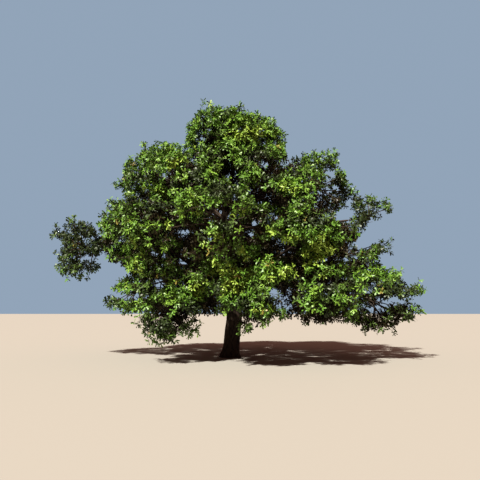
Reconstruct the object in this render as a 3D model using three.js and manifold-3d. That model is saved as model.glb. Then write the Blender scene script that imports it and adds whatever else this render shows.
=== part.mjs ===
// An open-grown oak in full summer leaf: one trunk that leans a little and runs up into the crown, boughs
// that leave it from head height upwards, and masses of foliage in four tiers, with an arm reaching out on
// each side. Lengths are in millimetres and angles in degrees. +X is the crown's right side, +Y its back and
// +Z up. The trunk's flat cut at ground level is centred on the origin.
import * as THREE from "three";
import { mergeVertices } from "three/addons/utils/BufferGeometryUtils.js";
import Module from "manifold-3d";

const wasm = await Module();
wasm.setup();

const UP = new THREE.Vector3(0, 0, 1);
const SEAT_GAP = 0.3; // between a limb and what it springs from

// The trunk, from its flat cut to its tip: how high each station is, where its middle is and how thick it is.
const TRUNK = {
  stations: [
    { up: 0, right: 0, back: 0, radius: 285 },
    { up: 350, right: 25, back: 0, radius: 274 },
    { up: 850, right: 65, back: 0, radius: 262 },
    { up: 1500, right: 120, back: 0, radius: 292 },
    { up: 2700, right: 10, back: 60, radius: 205 },
    { up: 4300, right: -290, back: 100, radius: 150 },
    { up: 5400, right: -140, back: 40, radius: 112 },
    { up: 6350, right: 30, back: 0, radius: 84 },
    { up: 6950, right: 80, back: -40, radius: 58 },
  ],
  sides: 15,
  rings: 24,
  flare: { height: 450, spread: 95, toes: 5, toeShare: 0.45 },
};

// A bough is a bent cone with this many sides and steps, no thicker at its foot than a share of its carrier.
// It leaves rising at its liftAngle, holds that way for springShare of its length, and ends where it enters
// its mass, at entryShare of the mass's half size. Other things are kept clear of its checkSteps stretches.
const LIMB = {
  sides: 6,
  steps: 4,
  tipRadius: 34,
  taperPower: 0.8,
  footShare: 0.9,
  springShare: 0.38,
  arriveShare: 0.3,
  entryShare: 0.84,
  checkSteps: 8,
};

// The tiers of the crown. half gives a mass's half sizes outwards from the trunk, sideways and upwards. bough
// says what carries the mass: the trunk, or the bough of the tier named, and how thick the bough is where it
// springs. Each mass then has its own bearing, counted anticlockwise from +X, and how far out its middle
// stands. springsAt is a height on the trunk, or a share of the carrying bough's length.
const TIERS = {
  middle: {
    up: 4300,
    half: [1600, 1800, 1250],
    bough: { radius: 128, liftAngle: 38 },
    branchlets: 6,
    masses: {
      right: { bearing: 6, out: 4250, up: 3700, half: [1650, 1600, 1200], springsAt: 1750, lift: 30 },
      back_right: { bearing: 52, out: 3900, springsAt: 2550 },
      back: { bearing: 97, out: 4000, springsAt: 2050 },
      back_left: { bearing: 142, out: 3900, springsAt: 2800 },
      left: { bearing: 184, out: 3500, up: 4450, half: [1200, 1600, 1250], springsAt: 2350 },
      front_left: { bearing: 226, out: 3550, up: 3950, half: [1450, 1650, 1300], springsAt: 1950 },
      front: { bearing: 268, out: 3900, up: 4050, half: [1450, 1600, 1200], springsAt: 2800 },
      front_right: { bearing: 314, out: 3900, up: 4100, half: [1500, 1700, 1250], springsAt: 2250 },
    },
  },
  skirt: {
    up: 2350,
    half: [1500, 1750, 1100],
    bough: { carriedBy: "middle", radius: 62, liftAngle: -4 },
    branchlets: 5,
    masses: {
      right: { bearing: 352, out: 4950, up: 1950, half: [1650, 1600, 1200], springsAt: 0.5 },
      back_right: { bearing: 38, out: 4300, up: 2400, springsAt: 0.45 },
      back: { bearing: 84, out: 4500, springsAt: 0.45 },
      back_left: { bearing: 130, out: 4300, springsAt: 0.4 },
      left: { bearing: 174, out: 3500, up: 2300, half: [1200, 1400, 800], springsAt: 0.35 },
      front_left: { bearing: 226, out: 2750, up: 1650, half: [1150, 1250, 1250], springsAt: 0.32 },
      front: { bearing: 282, out: 3200, up: 2150, half: [1300, 1300, 1250], springsAt: 0.35 },
      front_right: { bearing: 315, out: 3950, up: 2150, half: [1500, 1600, 1050], springsAt: 0.45 },
    },
  },
  shoulder: {
    up: 6400,
    half: [1400, 1650, 1300],
    bough: { radius: 84, liftAngle: 40 },
    branchlets: 6,
    masses: {
      right: { bearing: 4, out: 3200, up: 6100, springsAt: 3300 },
      back_right: { bearing: 60, out: 2700, springsAt: 4050 },
      back_left: { bearing: 122, out: 2700, springsAt: 4750 },
      left: { bearing: 180, out: 2850, up: 6350, springsAt: 4150 },
      front_left: { bearing: 230, out: 2650, up: 5800, half: [1350, 1450, 1200], springsAt: 3700 },
      front_right: { bearing: 304, out: 2650, up: 5750, half: [1350, 1450, 1200], springsAt: 4450 },
    },
  },
  top: {
    up: 7800,
    half: [1100, 1200, 1250],
    bough: { radius: 52, liftAngle: 50 },
    branchlets: 5,
    masses: {
      left: { bearing: 190, out: 750, up: 7900, springsAt: 5650 },
      right: { bearing: 12, out: 950, up: 7650, springsAt: 5950 },
      back: { bearing: 90, out: 1000, up: 7650, springsAt: 6250 },
      front: { bearing: 275, out: 850, up: 7650, onTip: true },
    },
  },
  arm: {
    half: [900, 900, 1000],
    bough: { radius: 58, liftAngle: 8 },
    branchlets: 5,
    masses: {
      left: {
        bearing: 181, out: 5250, up: 3800, half: [950, 950, 1250],
        carriedBy: "middle", springsAt: 0.42, lift: 0,
      },
      right: {
        bearing: 357, out: 4850, up: 4800, half: [850, 850, 900],
        carriedBy: "shoulder", springsAt: 0.5, lift: 8,
      },
    },
  },
};

// What a mass is made of: a stem to its heart, branchlets that spread evenly from there, a blade at the end
// of each branchlet and two at its sides, every blade standing for a spray of leaves, and a core for the
// shaded inside. Shares are of the free way from the heart to the edge of the mass's own space.
const GROWTH = {
  firstRise: 0.04,
  riseSpan: 1.6,
  stemRadius: 30,
  stemBendShare: 0.4,
  branchletRadius: 27,
  branchletTipRadius: 19,
  branchletShare: 0.76,
  core: { share: 0.71, unevenness: 0.28 },
  blade: { widthShare: 0.62, widestAt: 0.6, thickness: 16, sunk: 7, least: 190, shrink: 0.9 },
  sideBlades: [
    { at: 0.86, round: 0, tilt: 60, length: 680 },
    { at: 0.97, round: 120, tilt: 48, length: 680 },
  ],
};

const NEIGHBOUR_MARGIN = 0.035; // of a mass's half size, kept clear at its border with each neighbour
const LIMB_CLEARANCE = 45;
const LOWEST_LEAF = 420;
const MARCH_STEP = 30;

const radians = THREE.MathUtils.degToRad;
const fraction = (value) => value - Math.floor(value);

// The same number from 0 to 1 for the same keys, so that the tree grows alike each time.
const chance = (first, second) => fraction(Math.sin(first * 127.1 + second * 311.7) * 43758.5453);

// The part of a direction that is square to an axis, as a unit vector.
const squareTo = (direction, axis) =>
  direction.clone().addScaledVector(axis, -direction.dot(axis)).normalize();

// A direction turned about an axis by an angle in degrees.
const turned = (direction, axis, angle) => direction.clone().applyAxisAngle(axis, radians(angle));

const outwardAt = (bearing) => new THREE.Vector3(Math.cos(radians(bearing)), Math.sin(radians(bearing)), 0);

const ALONG_X = new THREE.Vector3(1, 0, 0);
const ALONG_Y = new THREE.Vector3(0, 1, 0);
const GOLDEN = (Math.sqrt(5) - 1) / 2;
const ROOT_THREE = Math.sqrt(3);

// Directions round a pole that stay evenly spread however many of them are taken. The first is near the pole.
function evenDirection(count, pole) {
  const rise = 1 - GROWTH.riseSpan * fraction(GROWTH.firstRise + count * GOLDEN);
  const turn = 2 * Math.PI * fraction(count * ROOT_THREE);
  const level = Math.sqrt(1 - rise * rise);
  const side = squareTo(Math.abs(pole.z) > 0.9 ? ALONG_X : UP, pole);
  const face = new THREE.Vector3().crossVectors(pole, side);
  const direction = pole.clone().multiplyScalar(rise);
  direction.addScaledVector(side, level * Math.cos(turn));
  return direction.addScaledVector(face, level * Math.sin(turn));
}

// A closed geometry as a solid. Shared corners are merged so that it is one closed surface.
function solidFrom(geometry) {
  geometry.deleteAttribute("normal");
  geometry.deleteAttribute("uv");
  const merged = mergeVertices(geometry, 1e-3);
  return new wasm.Manifold(
    new wasm.Mesh({
      numProp: 3,
      vertProperties: merged.attributes.position.array,
      triVerts: new Uint32Array(merged.index.array),
    }),
  );
}

function geometryFrom(solid) {
  const mesh = solid.getMesh();
  return new THREE.BufferGeometry()
    .setAttribute("position", new THREE.BufferAttribute(mesh.vertProperties, 3))
    .setIndex(new THREE.BufferAttribute(mesh.triVerts, 1));
}

// The largest closed piece of a solid, with any loose scrap dropped and any sealed hollow filled.
function largestPiece(solid) {
  const pieces = solid.decompose();
  return pieces.reduce((best, piece) => (piece.volume() > best.volume() ? piece : best));
}

// A cylinder bent along a curve, with the radius that radiusAt gives for a share of the way and a bearing.
function bentSolid(curve, radiusAt, sides, rings) {
  const geometry = new THREE.CylinderGeometry(1, 1, 1, sides, rings);
  const position = geometry.attributes.position;
  const frames = curveFrames(curve, rings);
  for (let i = 0; i < position.count; i++) {
    const share = position.getY(i) + 0.5;
    const frame = frames[Math.round(share * rings)];
    const across = position.getX(i);
    const deep = position.getZ(i);
    const radius = radiusAt(share, Math.atan2(deep, across));
    const point = frame.point.clone();
    point.addScaledVector(frame.side, across * radius).addScaledVector(frame.face, -deep * radius);
    position.setXYZ(i, point.x, point.y, point.z);
  }
  return solidFrom(geometry);
}

// Points along a curve, each with two directions square to it that don't twist from one point to the next.
function curveFrames(curve, rings) {
  const frames = [];
  let side = Math.abs(curve.getTangent(0).x) > 0.9 ? ALONG_Y : ALONG_X;
  for (let i = 0; i <= rings; i++) {
    const along = curve.getTangent(i / rings).normalize();
    side = squareTo(side, along);
    const face = new THREE.Vector3().crossVectors(along, side);
    frames.push({ point: curve.getPoint(i / rings), side, face });
  }
  return frames;
}

// The trunk as a limb: its curve, its thickness without the flare, and its stretches.
function trunkLimb() {
  const { stations, rings } = TRUNK;
  const middles = stations.map((station) => new THREE.Vector3(station.right, station.back, station.up));
  const curve = new THREE.CatmullRomCurve3(middles, false, "catmullrom", 0.5);
  const radiusAt = (share) => {
    const place = share * (stations.length - 1);
    const below = Math.min(Math.floor(place), stations.length - 2);
    return THREE.MathUtils.lerp(stations[below].radius, stations[below + 1].radius, place - below);
  };
  return { name: "trunk", curve, radiusAt, segments: limbSegments(curve, radiusAt, rings) };
}

// The trunk's solid, or one that is grown a little all round. Its foot spreads in a few broad toes.
function trunkSolid(trunk, grown = 0) {
  const { flare, sides, rings } = TRUNK;
  const radiusAt = (share, bearing) => {
    const height = trunk.curve.getPoint(share).z;
    const spread = flare.spread * Math.max(0, 1 - height / flare.height) ** 2;
    return trunk.radiusAt(share) + grown + spread * (1 + flare.toeShare * Math.cos(flare.toes * bearing));
  };
  return bentSolid(flatFooted(trunk.curve), radiusAt, sides, rings);
}

// The same curve, with an upright start so that its first ring lies flat on the ground.
function flatFooted(curve) {
  const level = new THREE.Curve();
  level.getPoint = (share) => curve.getPoint(share);
  level.getTangent = (share) => (share === 0 ? UP.clone() : curve.getTangent(share));
  return level;
}

// A limb as short straight stretches, for keeping other things clear of it.
function limbSegments(curve, radiusAt, count) {
  const segments = [];
  for (let i = 0; i < count; i++) {
    const from = curve.getPoint(i / count);
    const to = curve.getPoint((i + 1) / count);
    segments.push({ line: new THREE.Line3(from, to), radius: radiusAt(i / count) });
  }
  return segments;
}

// Every mass of the crown with its place, its size and what carries it.
function crownMasses() {
  const masses = [];
  for (const [tierName, tier] of Object.entries(TIERS)) {
    for (const [side, row] of Object.entries(tier.masses)) {
      const outward = outwardAt(row.bearing);
      masses.push({
        name: `${tierName}_${side}`,
        heart: outward.clone().multiplyScalar(row.out).setZ(row.up ?? tier.up),
        outward,
        sideways: new THREE.Vector3().crossVectors(UP, outward),
        half: row.half ?? tier.half,
        carrier: row.onTip ? null : carrierName(row.carriedBy ?? tier.bough.carriedBy, side),
        springsAt: row.springsAt,
        lift: row.lift ?? tier.bough.liftAngle,
        radius: tier.bough.radius,
        branchlets: tier.branchlets,
      });
    }
  }
  masses.forEach((mass, index) => (mass.index = index));
  return masses;
}

const carrierName = (tier, side) => (tier ? `bough_${tier}_${side}` : "trunk");

// How far out in its mass a point is: 0 at the heart and 1 at the edge.
function shareOut(mass, point) {
  const offset = point.clone().sub(mass.heart);
  const [out, side, up] = mass.half;
  return Math.hypot(offset.dot(mass.outward) / out, offset.dot(mass.sideways) / side, offset.z / up);
}

// The limb that carries a mass. It starts at its carrier's middle, so that its foot can be cut to the
// carrier's surface, and points at the mass's heart where it ends.
function boughLimb(mass, limbs) {
  const carrier = limbs.get(mass.carrier);
  const share = mass.carrier === "trunk" ? shareAtHeight(carrier.curve, mass.springsAt) : mass.springsAt;
  const foot = carrier.curve.getPoint(share);
  const inward = foot.clone().sub(mass.heart).normalize();
  const edge = 1 / shareOut(mass, mass.heart.clone().add(inward));
  const tip = mass.heart.clone().addScaledVector(inward, edge * LIMB.entryShare);
  const length = tip.distanceTo(foot);
  const level = tip.clone().sub(foot).setZ(0).normalize();
  const leaving = turned(level, new THREE.Vector3().crossVectors(level, UP).normalize(), mass.lift);
  const curve = new THREE.CubicBezierCurve3(
    foot,
    foot.clone().addScaledVector(leaving, length * LIMB.springShare),
    tip.clone().addScaledVector(inward, length * LIMB.arriveShare),
    tip,
  );
  const footRadius = Math.min(mass.radius, carrier.radiusAt(share) * LIMB.footShare);
  const radiusAt = (way) => THREE.MathUtils.lerp(footRadius, LIMB.tipRadius, way ** LIMB.taperPower);
  const segments = limbSegments(curve, radiusAt, LIMB.checkSteps);
  return { name: `bough_${mass.name}`, curve, radiusAt, segments, carrier };
}

// The share of the way up a rising curve at which it passes a height.
function shareAtHeight(curve, height) {
  let low = 0;
  let high = 1;
  for (let i = 0; i < 30; i++) {
    const middle = (low + high) / 2;
    if (curve.getPoint(middle).z < height) low = middle;
    else high = middle;
  }
  return low;
}

// Whether a point may hold a twig or a leaf of a mass: inside the mass, further inside it than in any other,
// not too near the ground and clear of every limb.
function hasRoom(mass, point, masses, limbs) {
  const own = shareOut(mass, point);
  if (own > 1 || point.z < LOWEST_LEAF) return false;
  const taken = (other) => other !== mass && shareOut(other, point) < own + NEIGHBOUR_MARGIN;
  if (masses.some(taken)) return false;
  const nearest = new THREE.Vector3();
  for (const limb of limbs.values())
    for (const { line, radius } of limb.segments) {
      line.closestPointToPoint(point, true, nearest);
      if (nearest.distanceTo(point) < radius + LIMB_CLEARANCE) return false;
    }
  return true;
}

// How far a mass's own space runs from its heart in a direction.
function freeReach(mass, direction, fits) {
  let reach = 0;
  while (fits(mass.heart.clone().addScaledVector(direction, reach + MARCH_STEP))) reach += MARCH_STEP;
  return reach;
}

// A straight three-sided twig with one of its flat faces turned to a side.
function twigSolid(from, to, fromRadius, toRadius, side) {
  const along = to.clone().sub(from);
  const middle = from.clone().add(to).multiplyScalar(0.5);
  const geometry = new THREE.CylinderGeometry(toRadius, fromRadius, along.length(), 3, 1, false, Math.PI);
  along.normalize();
  const basis = new THREE.Matrix4().makeBasis(new THREE.Vector3().crossVectors(along, side), along, side);
  return solidFrom(geometry.applyMatrix4(basis.setPosition(middle)));
}

// A blade of eight faces, pointed at both ends, with a flat side towards facing. Its root is sunk in a twig.
function bladeSolid(root, direction, facing, length) {
  const { widthShare, widestAt, thickness, sunk } = GROWTH.blade;
  const normal = squareTo(facing, direction);
  const across = new THREE.Vector3().crossVectors(direction, normal);
  const geometry = new THREE.OctahedronGeometry(1, 0);
  const position = geometry.attributes.position;
  for (let i = 0; i < position.count; i++) {
    const along = position.getY(i);
    const share = along === 0 ? widestAt : (along + 1) / 2;
    const point = root.clone().addScaledVector(direction, share * (length + sunk) - sunk);
    point.addScaledVector(across, (position.getX(i) * length * widthShare) / 2);
    point.addScaledVector(normal, (position.getZ(i) * thickness) / 2);
    position.setXYZ(i, point.x, point.y, point.z);
  }
  return solidFrom(geometry);
}

// Places on a blade, as shares of its length and of its half width, where it needs room.
const BLADE_PLACES = [
  [1, 0], [0.8, 0.5], [0.8, -0.5], [GROWTH.blade.widestAt, 1], [GROWTH.blade.widestAt, -1],
  [0.5, 0], [0.3, 0.5], [0.3, -0.5],
];

// The longest blade, up to a full length, that has room all along its middle and its edges, or none.
function fittedBlade(root, direction, facing, fullLength, fits) {
  const { widthShare, least, shrink } = GROWTH.blade;
  const across = new THREE.Vector3().crossVectors(direction, squareTo(facing, direction));
  for (let length = fullLength; length >= least; length *= shrink) {
    const place = ([share, wide]) => {
      const point = root.clone().addScaledVector(direction, share * length);
      return point.addScaledVector(across, (wide * length * widthShare) / 2);
    };
    if (BLADE_PLACES.map(place).every(fits)) return bladeSolid(root, direction, facing, length);
  }
  return null;
}

// The dark heart of a dense mass: a ball drawn in to a share of the free way in every direction.
function coreSolid(mass, fits) {
  const geometry = new THREE.IcosahedronGeometry(1, 1);
  const position = geometry.attributes.position;
  for (let i = 0; i < position.count; i++) {
    const direction = new THREE.Vector3().fromBufferAttribute(position, i).normalize();
    const lump = chance(mass.index + direction.x, direction.y + 3 * direction.z) - 0.5;
    const reach = GROWTH.core.share * (1 + GROWTH.core.unevenness * lump) * freeReach(mass, direction, fits);
    const point = mass.heart.clone().addScaledVector(direction, reach);
    position.setXYZ(i, point.x, point.y, point.z);
  }
  return solidFrom(geometry);
}

// One branchlet and its blades: one that carries on from its end, and those that leave its flat faces.
function branchletSolids(mass, twig, direction, fits) {
  const reach = freeReach(mass, direction, fits);
  const end = mass.heart.clone().addScaledVector(direction, reach * GROWTH.branchletShare);
  const across = squareTo(Math.abs(direction.z) > 0.9 ? mass.outward : UP, direction);
  const side = turned(across, direction, 360 * chance(mass.index, twig));
  const facing = direction.clone().add(UP);
  const blades = [fittedBlade(end, direction, facing, reach * (1 - GROWTH.branchletShare), fits)];
  for (const { at, round, tilt, length } of GROWTH.sideBlades) {
    const root = mass.heart.clone().lerp(end, at);
    const hinge = new THREE.Vector3().crossVectors(direction, turned(side, direction, round));
    blades.push(fittedBlade(root, turned(direction, hinge, tilt), facing, length, fits));
  }
  const grown = blades.filter((blade) => blade);
  if (grown.length === 0) return [];
  return [twigSolid(mass.heart, end, GROWTH.branchletRadius, GROWTH.branchletTipRadius, side), ...grown];
}

// The stem of a mass. It starts square to the tip that carries it, a gap away, and bends to the mass's heart.
function stemSolid(mass, tip, arriving) {
  const foot = tip.clone().addScaledVector(arriving, SEAT_GAP);
  const bend = foot.clone().addScaledVector(arriving, foot.distanceTo(mass.heart) * GROWTH.stemBendShare);
  const radiusAt = (way) => THREE.MathUtils.lerp(GROWTH.stemRadius, GROWTH.branchletRadius, way);
  return bentSolid(new THREE.QuadraticBezierCurve3(foot, bend, mass.heart), radiusAt, 3, 2);
}

// One mass of foliage, fused into one solid.
function massSolid(mass, tip, arriving, masses, limbs) {
  const fits = (point) => hasRoom(mass, point, masses, limbs);
  const pole = mass.heart.clone().sub(tip).normalize();
  const solids = [coreSolid(mass, fits), stemSolid(mass, tip, arriving)];
  for (let twig = 0; twig < mass.branchlets; twig++)
    solids.push(...branchletSolids(mass, twig, evenDirection(twig, pole), fits));
  return largestPiece(wasm.Manifold.union(solids));
}

// A bough's foot is cut to its carrier's surface, so that it sits on it.
function boughSolid(limb, trunk) {
  const { sides, steps } = LIMB;
  const { carrier } = limb;
  const whole = bentSolid(limb.curve, limb.radiusAt, sides, steps);
  if (carrier === trunk) return largestPiece(whole.subtract(trunkSolid(trunk, SEAT_GAP)));
  const grownRadius = (way) => carrier.radiusAt(way) + SEAT_GAP;
  return largestPiece(whole.subtract(bentSolid(carrier.curve, grownRadius, sides, steps)));
}

const bark = new THREE.MeshStandardMaterial({ color: 0x4a3b2e, roughness: 0.95, metalness: 0 });
const foliage = new THREE.MeshStandardMaterial({ color: 0x4f7d22, roughness: 0.6, metalness: 0 });

function node(name, solid, material) {
  const mesh = new THREE.Mesh(geometryFrom(solid), material);
  mesh.name = name;
  return mesh;
}

function buildOak() {
  const oak = new THREE.Group();
  const trunk = trunkLimb();
  const limbs = new Map([["trunk", trunk]]);
  const masses = crownMasses();
  for (const mass of masses.filter((each) => each.carrier)) {
    const limb = boughLimb(mass, limbs);
    limbs.set(limb.name, limb);
    oak.add(node(limb.name, boughSolid(limb, trunk), bark));
  }
  oak.add(node("trunk", trunkSolid(trunk), bark));
  for (const mass of masses) {
    const { curve } = limbs.get(`bough_${mass.name}`) ?? trunk;
    const solid = massSolid(mass, curve.getPoint(1), curve.getTangent(1), masses, limbs);
    oak.add(node(`foliage_${mass.name}`, solid, foliage));
  }
  return oak;
}

export default buildOak();
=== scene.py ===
# %% [markdown]
# # An open-grown oak
#
# This lesson dresses a imported model of an oak. The model holds the true places and sizes of the trunk, the
# boughs and the masses of foliage. Blender gives them what the eye looks for: furrowed bark, twigs that fork
# again and again, and leaves with lobes that sit in sprays. First the frame is loaded.

# %% Load the frame
import math
from functools import partial

import bpy
import numpy as np
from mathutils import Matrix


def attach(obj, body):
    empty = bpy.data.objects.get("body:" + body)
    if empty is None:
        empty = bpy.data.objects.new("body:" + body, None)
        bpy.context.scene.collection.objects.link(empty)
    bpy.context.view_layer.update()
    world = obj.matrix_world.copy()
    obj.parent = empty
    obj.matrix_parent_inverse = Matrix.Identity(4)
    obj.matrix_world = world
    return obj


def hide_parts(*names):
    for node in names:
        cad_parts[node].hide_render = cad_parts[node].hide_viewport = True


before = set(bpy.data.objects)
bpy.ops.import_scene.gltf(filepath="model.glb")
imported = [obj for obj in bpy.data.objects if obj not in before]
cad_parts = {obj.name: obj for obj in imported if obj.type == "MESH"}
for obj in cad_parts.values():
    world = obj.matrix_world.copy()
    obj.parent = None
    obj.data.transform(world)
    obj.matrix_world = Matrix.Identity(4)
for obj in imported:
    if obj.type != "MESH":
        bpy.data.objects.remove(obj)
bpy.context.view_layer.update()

# %% [markdown]
# ## The camera
#
# The tree is seen as through a phone held at eye height, a good way off and tilted slightly up. The horizon
# in such a picture lies at the height of the eye, which settles how high the camera stands, and the tree's
# foot then settles how far away. The lens is a phone's wide one.

# %% Camera
EYE_HEIGHT = 1.6
CAMERA_DISTANCE = 18.4
CAMERA_RIGHT = 0.32
CAMERA_TILT = math.radians(7.57)
FIELD_OF_VIEW = math.radians(49)

bpy.ops.object.select_all(action="DESELECT")
bpy.ops.object.camera_add(
    location=(CAMERA_RIGHT, -CAMERA_DISTANCE, EYE_HEIGHT), rotation=(math.pi / 2 + CAMERA_TILT, 0, 0)
)
camera = bpy.context.object
camera.name = "camera"
camera.data.angle = FIELD_OF_VIEW
bpy.context.scene.camera = camera
print("lens", round(camera.data.lens, 1), "mm")

# %% [markdown]
# ## The floor and the light
#
# The tree stands on a plain pale floor under plain soft light. One lamp plays the summer sun: it stands in
# front of the tree, to the left, about forty-five degrees up. The world fills the shade. The fill is kept low
# and warm, because the dark inside of a dense crown is what makes its lit clumps stand out. The backdrop that
# the camera sees is a cooler and brighter grey-blue, so that the gaps in the crown still read as gaps.

# %% Floor and light
FLOOR_SIZE = 400
FLOOR_COLOUR = (0.30, 0.285, 0.26, 1)
FLOOR_ROUGHNESS = 0.9
FILL_COLOUR = (1.0, 0.52, 0.42, 1)
FILL_STRENGTH = 0.30
BACKDROP_COLOUR = (0.27, 0.34, 0.43, 1)
SUN_TOWARDS = (-0.32, -0.62, 0.72)
SUN_STRENGTH = 8.5
SUN_COLOUR = (1.0, 0.96, 0.86)
SUN_ANGLE = math.radians(2.5)

bpy.ops.mesh.primitive_plane_add(size=FLOOR_SIZE)
floor = bpy.context.object
floor.name = "floor"
floor_paint = bpy.data.materials.new("floor_paint")
floor_paint.use_nodes = True
floor_shader = floor_paint.node_tree.nodes["Principled BSDF"]
floor_shader.inputs["Base Color"].default_value = FLOOR_COLOUR
floor_shader.inputs["Roughness"].default_value = FLOOR_ROUGHNESS
floor.data.materials.append(floor_paint)

world = bpy.data.worlds.new("studio")
world.use_nodes = True
nodes, links = world.node_tree.nodes, world.node_tree.links
fill = nodes["Background"]
fill.inputs["Color"].default_value = FILL_COLOUR
fill.inputs["Strength"].default_value = FILL_STRENGTH
backdrop = nodes.new("ShaderNodeBackground")
backdrop.inputs["Color"].default_value = BACKDROP_COLOUR
seen = nodes.new("ShaderNodeLightPath")
choice = nodes.new("ShaderNodeMixShader")
links.new(seen.outputs["Is Camera Ray"], choice.inputs["Fac"])
links.new(fill.outputs["Background"], choice.inputs[1])
links.new(backdrop.outputs["Background"], choice.inputs[2])
links.new(choice.outputs["Shader"], nodes["World Output"].inputs["Surface"])
bpy.context.scene.world = world

bpy.ops.object.light_add(type="SUN")
sun = bpy.context.object
sun.name = "sun"
sun.data.energy = SUN_STRENGTH
sun.data.color = SUN_COLOUR
sun.data.angle = SUN_ANGLE
azimuth = math.atan2(SUN_TOWARDS[1], SUN_TOWARDS[0])
height = math.asin(SUN_TOWARDS[2] / math.hypot(*SUN_TOWARDS))
sun.rotation_euler = (math.pi / 2 - height, 0, azimuth + math.pi / 2)
bpy.context.scene.view_settings.view_transform = "Standard"
bpy.context.scene.view_settings.look = "Medium High Contrast"
print("sun", round(math.degrees(height)), "degrees up")

# %% [markdown]
# ## The trunk's driving sizes
#
# These are sizes that the model was made from, in metres. An open-grown oak has a short thick trunk that
# leans and wavers as it rises through the crown, so it is given by stations. At its foot five toes of the
# root flare spread. Everything that follows is worked out from such sizes, so that twigs and leaves grow in
# the same places as in the model. A bough's shares say how it leaves its carrier, arrives at its mass and
# tapers.

# %% Trunk and limb sizes
TRUNK_STATIONS = [  # up, right, back, radius
    (0.00, 0.000, 0.00, 0.285),
    (0.35, 0.025, 0.00, 0.274),
    (0.85, 0.065, 0.00, 0.262),
    (1.50, 0.120, 0.00, 0.292),
    (2.70, 0.010, 0.06, 0.205),
    (4.30, -0.290, 0.10, 0.150),
    (5.40, -0.140, 0.04, 0.112),
    (6.35, 0.030, 0.00, 0.084),
    (6.95, 0.080, -0.04, 0.058),
]
FLARE = {"height": 0.45, "spread": 0.095, "toes": 5, "toe_share": 0.45}
LIMB = {"tip": 0.034, "taper_power": 0.8, "foot_share": 0.9, "spring_share": 0.38, "arrive_share": 0.3,
        "entry_share": 0.84, "check_steps": 8}
print("trunk", TRUNK_STATIONS[-1][0], "m high,", 2 * TRUNK_STATIONS[0][-1], "m thick at the foot")

# %% [markdown]
# ## The tiers' driving sizes
#
# A broad crown is made of masses of foliage in tiers: a skirt low down, the middle, the shoulders and the
# top, and an arm that reaches out on each side. A mass has its bearing in degrees, how far out and how high
# it stands, its half sizes outwards, sideways and upwards, and where its bough springs: a height on the
# trunk, or a share of the way along another bough. A tier's bough has a foot radius, and a lift in degrees. A
# mass's habit says how much fuller than usual it is, how many steps darker, how far in its shortest
# branchlets end, how many twigs each of them bears, and how far its leaves reach, as a share of its half
# sizes.

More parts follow.
